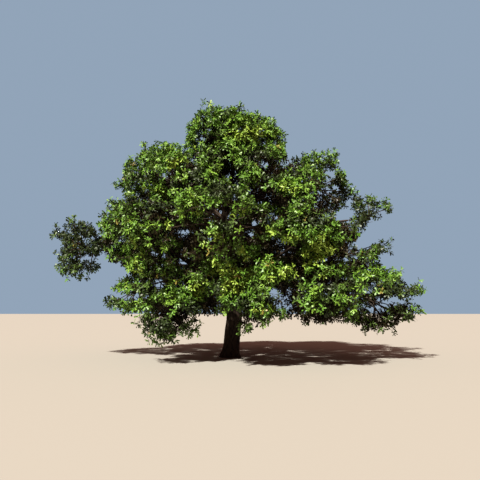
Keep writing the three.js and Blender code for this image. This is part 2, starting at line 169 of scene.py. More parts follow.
# %% Tiers
TIERS = {
    "middle": {
        "up": 4.3, "half": (1.6, 1.8, 1.25), "bough": (0.128, 38), "carrier": None,
        "masses": {
            "right": {"bearing": 6, "out": 4.25, "up": 3.7, "half": (1.65, 1.6, 1.2), "springs": 1.75,
                      "lift": 30},
            "back_right": {"bearing": 52, "out": 3.9, "springs": 2.55},
            "back": {"bearing": 97, "out": 4.0, "springs": 2.05},
            "back_left": {"bearing": 142, "out": 3.9, "springs": 2.8},
            "left": {"bearing": 184, "out": 3.5, "up": 4.45, "half": (1.2, 1.6, 1.25), "springs": 2.35},
            "front_left": {"bearing": 226, "out": 3.55, "up": 3.95, "half": (1.45, 1.65, 1.3),
                           "springs": 1.95},
            "front": {"bearing": 268, "out": 3.9, "up": 4.05, "half": (1.45, 1.6, 1.2), "springs": 2.8},
            "front_right": {"bearing": 314, "out": 3.9, "up": 4.1, "half": (1.5, 1.7, 1.25), "springs": 2.25},
        },
    },
    "skirt": {
        "up": 2.35, "half": (1.5, 1.75, 1.1), "bough": (0.062, -4), "carrier": "middle",
        "masses": {
            "right": {"bearing": 352, "out": 4.95, "up": 1.95, "half": (1.65, 1.6, 1.2), "springs": 0.5},
            "back_right": {"bearing": 38, "out": 4.3, "up": 2.4, "springs": 0.45},
            "back": {"bearing": 84, "out": 4.5, "springs": 0.45},
            "back_left": {"bearing": 130, "out": 4.3, "springs": 0.4},
            "left": {"bearing": 174, "out": 3.5, "up": 2.3, "half": (1.2, 1.4, 0.8), "springs": 0.35},
            "front_left": {"bearing": 226, "out": 2.75, "up": 1.65, "half": (1.15, 1.25, 1.25),
                           "springs": 0.32},
            "front": {"bearing": 282, "out": 3.2, "up": 2.15, "half": (1.3, 1.3, 1.25), "springs": 0.35},
            "front_right": {"bearing": 315, "out": 3.95, "up": 2.15, "half": (1.5, 1.6, 1.05),
                            "springs": 0.45},
        },
    },
    "shoulder": {
        "up": 6.4, "half": (1.4, 1.65, 1.3), "bough": (0.084, 40), "carrier": None,
        "masses": {
            "right": {"bearing": 4, "out": 3.2, "up": 6.1, "springs": 3.3},
            "back_right": {"bearing": 60, "out": 2.7, "springs": 4.05},
            "back_left": {"bearing": 122, "out": 2.7, "springs": 4.75},
            "left": {"bearing": 180, "out": 2.85, "up": 6.35, "springs": 4.15},
            "front_left": {"bearing": 230, "out": 2.65, "up": 5.8, "half": (1.35, 1.45, 1.2), "springs": 3.7},
            "front_right": {"bearing": 304, "out": 2.65, "up": 5.75, "half": (1.35, 1.45, 1.2),
                            "springs": 4.45},
        },
    },
    "top": {
        "up": 7.65, "half": (1.1, 1.2, 1.25), "bough": (0.052, 50), "carrier": None,
        "masses": {
            "left": {"bearing": 190, "out": 0.75, "up": 7.9, "springs": 5.65, "habit": {"fullness": 1.4}},
            "right": {"bearing": 12, "out": 0.95, "springs": 5.95, "habit": {"fullness": 1.4}},
            "back": {"bearing": 90, "out": 1.0, "springs": 6.25, "habit": {"fullness": 1.4}},
            "front": {"bearing": 275, "out": 0.85, "on_tip": True, "habit": {"fullness": 1.4}},
        },
    },
    "arm": {
        "up": 4.3, "half": (0.9, 0.9, 1.0), "bough": (0.058, 8), "carrier": None,
        "masses": {
            "left": {"bearing": 181, "out": 5.25, "up": 3.8, "half": (0.95, 0.95, 1.25), "springs": 0.42,
                     "lift": 0, "carrier": "middle",
                     "habit": {"fullness": 1.8, "shade": 1.2, "hollow": 0.4, "twigs": 8, "edge": 1.17}},
            "right": {"bearing": 357, "out": 4.85, "up": 4.8, "half": (0.85, 0.85, 0.9), "springs": 0.5,
                      "lift": 8, "carrier": "shoulder",
                      "habit": {"fullness": 1.7, "shade": 0.5, "hollow": 0.4, "twigs": 6}},
        },
    },
}
USUAL_HABIT = {"fullness": 1.0, "shade": 0.0, "hollow": 0.7, "twigs": 9, "edge": 1.02}
print(", ".join(f"{len(tier['masses'])} masses in the {name} tier" for name, tier in TIERS.items()))

# %% [markdown]
# ## Small tools for directions
#
# A branch goes in a direction, and what leaves it is tilted away from that and turned round it. These few
# functions work on one direction or on a whole table of them at once, which keeps the growth of more than a
# hundred thousand leaves down to seconds.

# %% Directions
UP = np.array([0.0, 0.0, 1.0])
ALONG_X = np.array([1.0, 0.0, 0.0])
GOLDEN = (math.sqrt(5) - 1) / 2
GOLDEN_TURN = 2 * math.pi * GOLDEN
ROOT_THREE = math.sqrt(3)
FIRST_RISE = 0.04
RISE_SPAN = 1.85
STEEP = 0.9


def fraction(value):
    return value - np.floor(value)


def unit(vectors):
    return vectors / np.linalg.norm(vectors, axis=-1, keepdims=True)


def square_to(directions, axes):
    """The part of each direction that is square to its axis, as a unit vector."""
    along = np.sum(directions * axes, axis=-1, keepdims=True)
    return unit(directions - along * axes)


def beside(axes):
    """Any unit vector square to each axis."""
    steep = np.abs(axes[..., 2:3]) > STEEP
    return square_to(np.where(steep, ALONG_X, UP), axes)


def tilted(axes, tilt, turn):
    """Each axis leaned over by tilt, towards a side that turn picks round it. Both are in radians."""
    side = beside(axes)
    face = np.cross(axes, side)
    tilt = np.asarray(tilt)[..., None]
    turn = np.asarray(turn)[..., None]
    return np.cos(tilt) * axes + np.sin(tilt) * (np.cos(turn) * side + np.sin(turn) * face)


def even_directions(count, pole):
    """Directions round a pole that stay evenly spread however many are taken."""
    number = np.arange(count)
    rise = 1 - RISE_SPAN * fraction(FIRST_RISE + number * GOLDEN)
    turn = 2 * math.pi * fraction(number * ROOT_THREE)
    return tilted(np.broadcast_to(pole, (count, 3)), np.arccos(rise), turn)


print("what leaves a branch turns by", round(math.degrees(GOLDEN_TURN), 1), "degrees each time")

# %% [markdown]
# ## The limbs' routes
#
# The trunk follows a smooth curve through its stations. A bough leaves its carrier at a set lift, bends, and
# points at the heart of its mass where it ends. Each route is kept as a function of the way along it, from 0
# at the foot to 1 at the tip, together with the limb's radius there.

# %% Limb routes
LENGTH_POINTS = 60
TRUNK_CHECK_STEPS = 24


def path_length(points):
    return float(np.sum(np.linalg.norm(np.diff(points, axis=0), axis=1)))


class Limb:
    """A route and a radius along it, both functions of the way from 0 to 1."""

    def __init__(self, name, point, radius, check_steps):
        self.name = name
        self.point = point
        self.radius = radius
        ways = np.linspace(0, 1, check_steps + 1)
        self.joints = point(ways)
        self.joint_radii = radius(ways[:-1])
        self.length = path_length(point(np.linspace(0, 1, LENGTH_POINTS)))


def smooth_route(stations):
    """A smooth curve through stations, which come at even steps of the way."""
    first = 2 * stations[0] - stations[1]
    last = 2 * stations[-1] - stations[-2]
    held = np.vstack([first, stations, last])

    def point(way):
        place = np.clip(way, 0, 1) * (len(stations) - 1)
        index = np.minimum(place.astype(int), len(stations) - 2)
        t = (place - index)[:, None]
        a, b, c, d = (held[index + step] for step in range(4))
        square, cube = 2 * a - 5 * b + 4 * c - d, 3 * b - a - 3 * c + d
        return (2 * b + (c - a) * t + square * t**2 + cube * t**3) / 2

    return point


def bent_route(a, b, c, d):
    """The cubic curve from a to d that leaves towards b and arrives from c."""

    def point(way):
        t = np.asarray(way, float)[:, None]
        return (1 - t) ** 3 * a + 3 * (1 - t) ** 2 * t * b + 3 * (1 - t) * t**2 * c + t**3 * d

    return point


def make_trunk():
    table = np.array(TRUNK_STATIONS)
    shares = np.linspace(0, 1, len(table))
    route = smooth_route(table[:, [1, 2, 0]])
    return Limb("trunk", route, lambda way: np.interp(way, shares, table[:, 3]), TRUNK_CHECK_STEPS)


trunk = make_trunk()
print("trunk", round(trunk.length, 2), "m long")

# %% [markdown]
# ## The masses and what carries them
#
# Each mass of foliage is an egg-shaped room round a heart. The masses share the crown out: a point belongs to
# the mass that it lies furthest inside. The bough that carries a mass is worked out here too, because a skirt
# or an arm hangs on another mass's bough, which has to be there first.

# %% Masses
HEIGHT_STEPS = 2000


class Mass:
    """A mass of foliage: its heart, its half sizes and the limb that carries it."""

    def __init__(self, tier, side, row):
        bearing = math.radians(row["bearing"])
        self.name = f"{tier}_{side}"
        self.outward = np.array([math.cos(bearing), math.sin(bearing), 0.0])
        self.sideways = np.cross(UP, self.outward)
        self.heart = self.outward * row["out"] + UP * row.get("up", TIERS[tier]["up"])
        self.half = np.array(row.get("half", TIERS[tier]["half"]))
        self.habit = {**USUAL_HABIT, **row.get("habit", {})}
        self.axes = np.stack([self.outward, self.sideways, UP])

    def share_out(self, points):
        """0 at the heart and 1 at the edge."""
        return np.linalg.norm((points - self.heart) @ self.axes.T / self.half, axis=-1)


def way_at_height(limb, height):
    ways = np.linspace(0, 1, HEIGHT_STEPS)
    return ways[np.argmin(np.abs(limb.point(ways)[:, 2] - height))]


def make_bough(mass, row, tier, carrier):
    radius, tier_lift = tier["bough"]
    lift = math.radians(row.get("lift", tier_lift))
    way = way_at_height(carrier, row["springs"]) if carrier is trunk else row["springs"]
    foot = carrier.point(np.array([way]))[0]
    inward = unit(foot - mass.heart)
    tip = mass.heart + inward * LIMB["entry_share"] / mass.share_out(mass.heart + inward)
    length = np.linalg.norm(tip - foot)
    level = unit((tip - foot) * (1, 1, 0))
    leaving = math.cos(lift) * level + math.sin(lift) * UP
    spring = foot + leaving * length * LIMB["spring_share"]
    arrive = tip + inward * length * LIMB["arrive_share"]
    route = bent_route(foot, spring, arrive, tip)
    foot_radius = min(radius, float(carrier.radius(np.array([way]))[0]) * LIMB["foot_share"])

    def thickness(ways):
        return foot_radius + (LIMB["tip"] - foot_radius) * np.asarray(ways) ** LIMB["taper_power"]

    return Limb(f"bough_{mass.name}", route, thickness, LIMB["check_steps"])


masses = []
limbs = {"trunk": trunk}
for tier_name, tier in TIERS.items():
    for side, row in tier["masses"].items():
        mass = Mass(tier_name, side, row)
        carrier_tier = row.get("carrier", tier["carrier"])
        carrier = limbs[f"bough_{carrier_tier}_{side}"] if carrier_tier else trunk
        mass.limb = trunk
        if not row.get("on_tip"):
            mass.limb = make_bough(mass, row, tier, carrier)
            limbs[mass.limb.name] = mass.limb
        masses.append(mass)
print(len(masses), "masses on", len(limbs), "limbs")

# %% [markdown]
# ## Places in the picture
#
# A gap with sky behind it, or a clump that stands out in front, only matters as the camera sees it. Such
# places are read off a picture of the tree, and written down as pixels across and down from its top
# left corner. One function here tells at which pixel a point of the tree shows, and another follows the line
# of sight through a pixel. An oval in the picture has a half width and a half height in pixels too.

# %% Places in the picture
PICTURE_SIDE = 480
MIDDLE = PICTURE_SIDE / 2
PIXELS_AHEAD = MIDDLE / math.tan(FIELD_OF_VIEW / 2)
EYE = np.array([CAMERA_RIGHT, -CAMERA_DISTANCE, EYE_HEIGHT])
SIGHT_AHEAD = np.array([0, math.cos(CAMERA_TILT), math.sin(CAMERA_TILT)])
SIGHT_UP = np.array([0, -math.sin(CAMERA_TILT), math.cos(CAMERA_TILT)])


def line_of_sight(across, down):
    """The direction from the camera through a pixel."""
    return unit(PIXELS_AHEAD * SIGHT_AHEAD + (across - MIDDLE) * ALONG_X + (MIDDLE - down) * SIGHT_UP)


def seen_at(points):
    """The pixels at which points show: how far across and how far down."""
    offset = points - EYE
    scale = PIXELS_AHEAD / (offset @ SIGHT_AHEAD)
    return MIDDLE + scale * (offset @ ALONG_X), MIDDLE - scale * (offset @ SIGHT_UP)


def within_oval(pixels, across, down, half_width, half_height):
    """1 in the middle of an oval in the picture, less towards its edge, and 0 outside it."""
    outwards = ((pixels[0] - across) / half_width) ** 2 + ((pixels[1] - down) / half_height) ** 2
    return np.maximum(0, 1 - outwards)


print("the trunk's foot shows at pixel", [round(float(value[0])) for value in seen_at(trunk.joints[:1])])

# %% [markdown]
# ## The whole crown
#
# The masses alone would leave a bare cage of boughs in the middle of the tree, where the real one is full of
# small leafy growth. So the crown also has an inner egg shape, which fills the space between them.

# %% Crown
INNER_CROWN_HEART = (-0.1, 0.1, 4.3)
INNER_CROWN_HALF = (4.4, 3.9, 3.3)
INNER_CROWN_FLOOR = 1.15


def in_inner_crown(points):
    """Inside the crown's own egg shape, where twigs fill the space between the masses."""
    inside = np.linalg.norm((points - INNER_CROWN_HEART) / INNER_CROWN_HALF, axis=-1) < 1
    return inside & (points[:, 2] > INNER_CROWN_FLOOR)


def in_crown(points):
    """In some mass, or in the space between them."""
    inside = in_inner_crown(points)
    for mass in masses:
        inside |= mass.share_out(points) < USUAL_HABIT["edge"]
    return inside


print("inner crown", [round(2 * half, 1) for half in INNER_CROWN_HALF], "m wide, deep and high")

# %% [markdown]
# ## Clumps that stand out in front
#
# What makes a crown look deep is that bright tufts stand out before its dark inside. So a branchlet is sent
# to each of these places, just inside the crown's front. Some of them catch the sun through a shaft that is
# kept free of leaves, and a few stand further in, under the crown. Each belongs to the mass that it lies
# furthest inside.

# %% Front clumps
SUNLIT_CLUMPS = [  # across, down
    (137, 272), (198, 272), (197, 286), (222, 263), (265, 268), (325, 230), (140, 229), (252, 304),
]
FRONT_CLUMPS = [  # across, down
    (310, 258), (295, 218), (303, 234), (312, 232), (296, 230), (288, 236), (304, 224), (169, 228),
    (203, 219), (172, 246), (232, 163), (243, 249), (338, 297), (288, 226), (229, 143), (242, 135),
    (241, 151), (253, 167), (200, 178), (215, 171), (181, 205), (177, 195), (213, 231), (228, 286),
    (190, 284), (180, 296), (165, 293), (284, 271), (277, 235), (311, 240), (338, 232), (328, 249),
    (314, 291), (273, 184), (303, 187), (240, 119), (270, 132), (302, 208), (251, 178), (288, 187),
    (237, 230), (134, 234), (233, 279), (275, 277), (143, 290), (291, 240), (192, 138), (178, 158),
    (244, 209), (219, 178), (248, 280), (385, 290), (198, 294), (197, 206), (229, 297), (263, 312),
    (307, 304),
]
INNER_CLUMPS = [  # across, down, and how many metres further in than the front ones
    (210, 299, 2.6), (201, 304, 2.4), (191, 309, 2.2), (181, 314, 1.8), (171, 320, 1.2),
]
CLUMP_INSET = 0.45
SIGHT_REACHES = np.arange(11, 21, 0.01)  # metres from the camera, through the whole crown


def clump_place(across, down, further=0.0):
    """The place in line with a pixel that lies just inside the crown's front, or some way further in."""
    sight = line_of_sight(across, down)
    first = SIGHT_REACHES[np.argmax(in_crown(EYE + SIGHT_REACHES[:, None] * sight))]
    return EYE + (first + CLUMP_INSET + further) * sight


sunlit_clumps = [clump_place(*place) for place in SUNLIT_CLUMPS]
front_clumps = np.array(sunlit_clumps + [clump_place(*place) for place in FRONT_CLUMPS + INNER_CLUMPS])
front_owners = np.argmin([mass.share_out(front_clumps) for mass in masses], axis=0)
print(len(front_clumps), "front clumps,", len(sunlit_clumps), "of them with a shaft of light")

# %% [markdown]
# ## Gaps, bites and hollows
#
# Some gaps stay open, where the sky shows through the crown, and some bites are taken out of its outline:
# nothing leafy may grow in line with them. Hollows are only open in front: one looks through them at the dark
# inside of the crown. A shaft of light stays free on the side of its clump that faces the sun.

# %% Openings
SKY_GAPS = [  # across, down, half width, half height
    (160, 284, 6, 7), (136, 295, 4, 4), (147, 296, 3, 3), (255, 223, 5, 4), (251, 234, 4, 4),
    (273, 291, 6, 5), (289, 290, 3, 4), (239, 130, 4, 3), (216, 213, 3, 6), (228, 216, 3, 4),
    (183, 262, 5, 4), (200, 271, 5, 3), (153, 252, 3, 5), (165, 257, 3, 3), (211, 239, 4, 3),
    (206, 202, 3, 3), (235, 197, 3, 4), (343, 217, 10, 6), (128, 273, 3, 4), (383, 258, 4, 6),
    (231, 319, 9, 8),
]
OUTLINE_BITES = [  # across, down, half width, half height
    (106, 279, 13, 11), (114, 271, 9, 10), (122, 297, 9, 4), (383, 230, 14, 11), (372, 240, 8, 5),
    (363, 243, 9, 8), (189, 108, 9, 16), (179, 124, 9, 12), (133, 147, 9, 9), (168, 136, 12, 8),
    (217, 100, 6, 7), (234, 100, 4, 6), (268, 110, 8, 8), (283, 124, 6, 7), (291, 151, 7, 9),
    (349, 163, 9, 6), (352, 172, 8, 10), (118, 165, 7, 15), (113, 190, 8, 3), (56, 244, 7, 8),
    (280, 121, 5, 7), (289, 145, 4, 13), (197, 105, 5, 6), (184, 133, 4, 10), (341, 160, 4, 10),
    (369, 227, 5, 8), (121, 272, 7, 8), (90, 219, 13, 4), (352, 214, 4, 5), (86, 214, 13, 7),
    (96, 228, 3, 6), (335, 328, 22, 8),
]
HOLLOWS = [  # across, down, half width, half height, empty as far back as this many metres
    (186, 241, 10, 10, -2.2), (161, 260, 8, 8, -1.8), (228, 168, 8, 7, -1.4), (271, 165, 13, 9, -1.0),
    (276, 201, 12, 8, -1.4), (282, 250, 14, 9, -1.8), (243, 264, 8, 6, -2.2), (341, 203, 12, 12, -0.3),
    (222, 214, 8, 9, -2.0), (258, 194, 6, 11, -2.0), (324, 197, 11, 7, -1.8), (301, 268, 6, 6, -2.0),
    (347, 252, 8, 12, -1.0), (378, 304, 12, 9, -0.6), (235, 314, 7, 6, -0.4), (324, 281, 9, 5, -2.8),
    (234, 178, 5, 7, -0.5), (347, 229, 7, 6, -0.4),
]
SHAFT_START = 0.5
SHAFT_RADIUS = 0.36
sun_direction = unit(np.array(SUN_TOWARDS))


def in_shaft(points):
    """In the way of the sun on its way to a sunlit clump."""
    inside = np.zeros(len(points), bool)
    for clump in sunlit_clumps:
        offset = points - clump
        along = offset @ sun_direction
        aside = np.linalg.norm(offset - along[:, None] * sun_direction, axis=1)
        inside |= (along > SHAFT_START) & (aside < SHAFT_RADIUS)
    return inside


def in_opening(points):
    """In line with a gap, in the front of a hollow, or in a shaft of light."""
    inside = in_shaft(points)
    pixels = seen_at(points)
    for oval in SKY_GAPS + OUTLINE_BITES:
        inside |= within_oval(pixels, *oval) > 0
    for *oval, back in HOLLOWS:
        inside |= (within_oval(pixels, *oval) > 0) & (points[:, 1] < back)
    return inside


print(len(SKY_GAPS), "gaps,", len(OUTLINE_BITES), "bites and", len(HOLLOWS), "hollows")

# %% [markdown]
# ## Room to grow
#
# A twig or a spray may only sit where its mass has room: inside the mass, further inside it than in any
# other, off the floor, clear of the limbs and out of the openings. In the inner crown the masses reach
# further, to fill the space between them.

# %% Room
LIMB_CLEARANCE = 0.03
LOWEST_LEAF = 0.45
INNER_REACH = 1.7
REACH_STEP = 0.03
REACH_STEPS = 64

joint_from = np.vstack([limb.joints[:-1] for limb in limbs.values()])
joint_to = np.vstack([limb.joints[1:] for limb in limbs.values()])
joint_radius = np.concatenate([limb.joint_radii for limb in limbs.values()])
print(len(joint_from), "straight stretches of limb to keep clear of")


def clear_of_limbs(points):
    along = joint_to - joint_from
    offset = points[:, None] - joint_from
    way = np.clip(np.sum(offset * along, axis=2) / np.sum(along**2, axis=1), 0, 1)
    distance = np.linalg.norm(offset - way[..., None] * along, axis=2)
    return np.all(distance > joint_radius + LIMB_CLEARANCE, axis=1)


def has_room(mass, points):
    own = mass.share_out(points)
    fits = (own < mass.habit["edge"]) | ((own < INNER_REACH) & in_inner_crown(points))
    for other in masses:
        if other is not mass:
            fits &= other.share_out(points) > own
    return fits & (points[:, 2] > LOWEST_LEAF)


def is_open(points):
    return clear_of_limbs(points) & ~in_opening(points)


def leafy_room(mass, points):
    return has_room(mass, points) & is_open(points)


def inner_room(points):
    return in_inner_crown(points) & is_open(points)


def crown_room(points):
    return in_crown(points) & (points[:, 2] > LOWEST_LEAF) & is_open(points)


def free_reach(mass, directions):
    """How far the mass's room runs from its heart in each direction."""
    steps = np.arange(1, REACH_STEPS + 1) * REACH_STEP
    points = mass.heart + directions[:, None] * steps[:, None]
    fits = has_room(mass, points.reshape(-1, 3)).reshape(points.shape[:2])
    return np.cumprod(fits, axis=1).sum(axis=1) * REACH_STEP


# %% [markdown]
# ## Shader expressions
#
# Bark needs a few sums in its shader. This small class wraps a socket, so that a sum is written as in Python
# and each sign adds its Math node, also where a plain number comes first. Colours are mixed with a Mix node,
# because a Math node turns a colour grey.

# %% Shader class
class Wire:
    """A shader socket that can be used in plain expressions."""

    def __init__(self, tree, socket):
        self.tree = tree
        self.socket = socket

    def maths(self, operation, other):
        return make_node(self.tree, "ShaderNodeMath", {"operation": operation}, {0: self, 1: other})

    def __add__(self, other):
        return self.maths("ADD", other)

    def __mul__(self, other):
        return self.maths("MULTIPLY", other)

    __radd__ = __add__
    __rmul__ = __mul__


def make_node(tree, kind, settings, inputs, output=0):
    """Adds a node, first its settings, then the values or links of its sockets, and returns one output."""
    node = tree.nodes.new(kind)
    for name, value in settings.items():
        setattr(node, name, value)
    for key, value in inputs.items():
        if isinstance(value, Wire):
            tree.links.new(value.socket, node.inputs[key])
        else:
            node.inputs[key].default_value = value
    return Wire(tree, node.outputs[output])


MIX_FACTOR, MIX_FROM, MIX_TO, MIX_RESULT = 0, 6, 7, 2


def blended(tree, factor, start, end):
    """The colour between two colours."""
    inputs = {MIX_FACTOR: factor, MIX_FROM: start, MIX_TO: end}
    return make_node(tree, "ShaderNodeMix", {"data_type": "RGBA"}, inputs, MIX_RESULT)


# %% [markdown]
# ## Bark
#
# An old oak's bark is a net of long grey-brown ridges with deep furrows between them. The ridges themselves
# are in the mesh, which stores how far down a furrow each point lies. The material reads that to darken the
# furrows with painted shade, adds patches where the bark has weathered paler, and gives the ridges a fine
# grain by a bump.

# %% Bark material
# Painted shade: the nearly black colour at the bottom of the furrows.
FURROW_PAINTED_SHADE = (0.005, 0.0028, 0.0015, 1)
RIDGE_COLOUR = (0.026, 0.014, 0.007, 1)
WEATHERED_COLOUR = (0.048, 0.032, 0.019, 1)
PATCH_NOISE = {"Scale": 3.0, "Detail": 5.0}
GRAIN_NOISE = {"Scale": 55.0, "Detail": 4.0}
WEATHERED_RANGE = {"From Min": 0.48, "From Max": 0.68}
GRAIN_SHARE = 0.65
RIDGE_ROUGHNESS = 0.82
FURROW_ROUGHNESS = 0.96
GRAIN_BUMP = {"Strength": 0.35, "Distance": 0.006}


def make_bark():
    bark = bpy.data.materials.new("oak_bark")
    bark.use_nodes = True
    tree = bark.node_tree
    shader = tree.nodes["Principled BSDF"]
    place = make_node(tree, "ShaderNodeTexCoord", {}, {}, "Object")
    furrow = make_node(tree, "ShaderNodeAttribute", {"attribute_name": "furrow"}, {}, "Fac")
    patches = make_node(tree, "ShaderNodeTexNoise", {}, {"Vector": place, **PATCH_NOISE})
    grain = make_node(tree, "ShaderNodeTexNoise", {}, {"Vector": place, **GRAIN_NOISE})
    weathered = make_node(tree, "ShaderNodeMapRange", {}, {"Value": patches, **WEATHERED_RANGE})
    pale = weathered * ((1 - GRAIN_SHARE) + GRAIN_SHARE * grain)
    ridge = blended(tree, pale, RIDGE_COLOUR, WEATHERED_COLOUR)
    # The furrows are darkened towards this colour as painted shade.
    colour = blended(tree, furrow, ridge, FURROW_PAINTED_SHADE)
    roughness = RIDGE_ROUGHNESS + (FURROW_ROUGHNESS - RIDGE_ROUGHNESS) * furrow
    bump = make_node(tree, "ShaderNodeBump", {}, {"Height": grain, **GRAIN_BUMP}, "Normal")
    tree.links.new(colour.socket, shader.inputs["Base Color"])
    tree.links.new(roughness.socket, shader.inputs["Roughness"])
    tree.links.new(bump.socket, shader.inputs["Normal"])
    return bark


bark = make_bark()
print(bark.name, "with", len(bark.node_tree.nodes), "nodes")

# %% [markdown]
# ## Twigs' and leaves' tints
#
# Twigs are too thin for furrows. Young oak twigs are smooth and grey-brown, so they get one plain colour. A
# crown isn't one green. Older sprays are deep green, younger ones fresh, and here and there one has gone
# rusty. The row of greens also carries painted light and shade: the yellowish sunny green is painted
# sunlight, and the dark green and the brown are painted shade, for leaves deep inside the crown where little
# light comes and for shaded patches. Each tint is a plain material, and a spray takes one tint as a whole.

# %% Plain materials
SOFT_SHINE = 0.35
TWIG_COLOUR = (0.040, 0.028, 0.020)
TWIG_ROUGHNESS = 0.85
LEAF_ROUGHNESS = 0.45
LEAF_TINTS = {
    # Painted shade, for leaves deep inside the crown.
    "leaf_shade_brown": (0.028, 0.022, 0.009),
    "leaf_deep_green": (0.062, 0.104, 0.023),
    "leaf_mid_green": (0.094, 0.186, 0.028),
    "leaf_fresh_green": (0.150, 0.258, 0.040),
    # Painted sunlight, for the clumps that catch the sun.
    "leaf_sunny_green": (0.232, 0.330, 0.058),
    "leaf_rusty": (0.190, 0.160, 0.040),
    # Painted shade, like the brown, where the crown hides less of the sky.
    "leaf_dark_green": (0.026, 0.041, 0.013),
}
SHADE_BROWN, SUNNY, RUSTY, PAINTED_SHADE_GREEN = 0, 4, 5, 6


def plain(name, colour, roughness):
    material = bpy.data.materials.new(name)
    material.use_nodes = True
    shader = material.node_tree.nodes["Principled BSDF"]
    shader.inputs["Base Color"].default_value = (*colour, 1)
    shader.inputs["Roughness"].default_value = roughness
    shader.inputs["Specular IOR Level"].default_value = SOFT_SHINE
    material.diffuse_color = (*colour, 1)
    return material


twig_bark = plain("twig_bark", TWIG_COLOUR, TWIG_ROUGHNESS)
leaf_materials = [plain(name, colour, LEAF_ROUGHNESS) for name, colour in LEAF_TINTS.items()]
print(len(leaf_materials), "tints of leaf")

# %% [markdown]
# ## A straight pole
#
# Carving bark on a bent limb is awkward, because along and round change their directions all the way. So a
# limb starts as a straight pole: a filled circle, extruded upwards ring by ring and tapered as it goes, and
# smoothed by subdivision. Whatever shapes it further goes into a vertex group, as each point's share of the
# way, and a Displace modifier moves the surface by it.

# %% Poles
SMOOTHING = 2


def select_only(piece):
    bpy.ops.object.select_all(action="DESELECT")
    piece.select_set(True)
    bpy.context.view_layer.objects.active = piece


def straight_pole(name, length, radii, sides):
    """A smooth pole along Z with these radii at even steps."""
    bpy.ops.object.select_all(action="DESELECT")
    bpy.ops.mesh.primitive_circle_add(vertices=sides, radius=float(radii[0]), fill_type="NGON")
    piece = bpy.context.object
    piece.name = name
    bpy.ops.object.mode_set(mode="EDIT")
    step = length / (len(radii) - 1)
    for ring, (last, radius) in enumerate(zip(radii, radii[1:]), 1):
        bpy.ops.mesh.extrude_region_move(TRANSFORM_OT_translate={"value": (0, 0, step)})
        share = float(radius / last)
        bpy.ops.transform.resize(value=(share, share, 1), center_override=(0, 0, step * ring))
    bpy.ops.mesh.select_all(action="SELECT")
    bpy.ops.mesh.normals_make_consistent(inside=False)
    bpy.ops.object.mode_set(mode="OBJECT")
    smooth = piece.modifiers.new("smooth", "SUBSURF")
    smooth.levels = smooth.render_levels = SMOOTHING
    bpy.ops.object.modifier_apply(modifier=smooth.name)
    return piece


def surface_places(piece):
    """The height of each point of a pole, and its turn round it."""
    places = np.empty(3 * len(piece.data.vertices), np.float32)
    piece.data.vertices.foreach_get("co", places)
    x, y, z = places.reshape(-1, 3).T
    return z, np.arctan2(y, x)


def push_out(piece, name, furthest, shares):
    """Moves each point outwards, or inwards, by its own share of the furthest distance."""
    group = piece.vertex_groups.new(name=name)
    for index, share in enumerate(shares):
        group.add([index], float(share), "REPLACE")
    displace = piece.modifiers.new(name, "DISPLACE")
    displace.vertex_group = group.name
    displace.mid_level = 0
    displace.strength = furthest
    bpy.ops.object.modifier_apply(modifier=displace.name)


# %% [markdown]
# ## Furrows
#
# On a straight pole the furrows of old oak bark are simple sums. Long ones run up the pole and wander as they
# go, and slanting ones join them here and there, so that the ridges form a net. A thin limb has fewer ridges
# and shallower furrows. How deep each point lies is also stored on the mesh, where the bark's material reads
# it.

# %% Furrows
BARK_FEATURE = 0.085
FURROW_DEPTH_SHARE = 0.085
DEEPEST_FURROW = 0.022
WANDERING = [  # size, radians per metre along, waves round, start
    (1.5, 2.6, 1, 0.0),
    (0.9, 6.3, -2, 1.3),
    (0.5, 14.9, 3, 0.0),
    (0.25, 41.0, -5, 0.0),
]
SLANT_LENGTH = 0.34
SLANT_WANDER = 0.8
JOINED_WAVE = (7.7, -3)  # radians per metre along, waves round
JOINED_SWAY = (3.1, 1)
LONG_SHARPNESS = 2.0
SLANT_SHARPNESS = 2.6


def furrows(turn, along, ridges):
    """How far down a furrow each point lies, from 0 on a ridge to 1, for its turn round and its way along."""
    wander = 0
    for size, pace, rounds, start in WANDERING:
        wander = wander + size * np.sin(along * pace + rounds * turn + start)
    long_line = np.abs(np.sin(ridges * turn / 2 + wander))
    slant = math.pi * along / SLANT_LENGTH - SLANT_WANDER * wander
    slanting_line = np.abs(np.sin(ridges * turn / 4 + slant))
    sway = 2 * np.sin(along * JOINED_SWAY[0] + turn * JOINED_SWAY[1])
    joined_here = (1 + np.sin(along * JOINED_WAVE[0] + turn * JOINED_WAVE[1] + sway)) / 2
    long_depth = 1 - np.minimum(1, LONG_SHARPNESS * long_line)
    slant_depth = 1 - np.minimum(1, SLANT_SHARPNESS * slanting_line)
    return np.maximum(long_depth, slant_depth * joined_here)


def carve(piece, radii, length):
    """Stores the furrows on the mesh for its material, and pushes them in."""
    along, turn = surface_places(piece)
    radius = np.interp(along, np.linspace(0, length, len(radii)), radii)
    ridges = 2 * max(2, round(math.pi * float(np.mean(radii)) / BARK_FEATURE))
    depth = furrows(turn, along, ridges)
    piece.data.attributes.new("furrow", "FLOAT", "POINT").data.foreach_set("value", depth.astype(np.float32))
    shallower = np.minimum(1, radius * FURROW_DEPTH_SHARE / DEEPEST_FURROW)
    push_out(piece, "furrows", -DEEPEST_FURROW, depth * shallower)


# %% [markdown]
# ## Bend and dress
#
# At last a Curve modifier bends the pole along the limb's route. Every piece of the tree is then dressed the
# same way: it gets its materials, rides on the tree's one body, and stands for its solids of the model.

# %% Bend and dress
PATH_POINTS = 48
SMOOTH_ANGLE = math.radians(60)


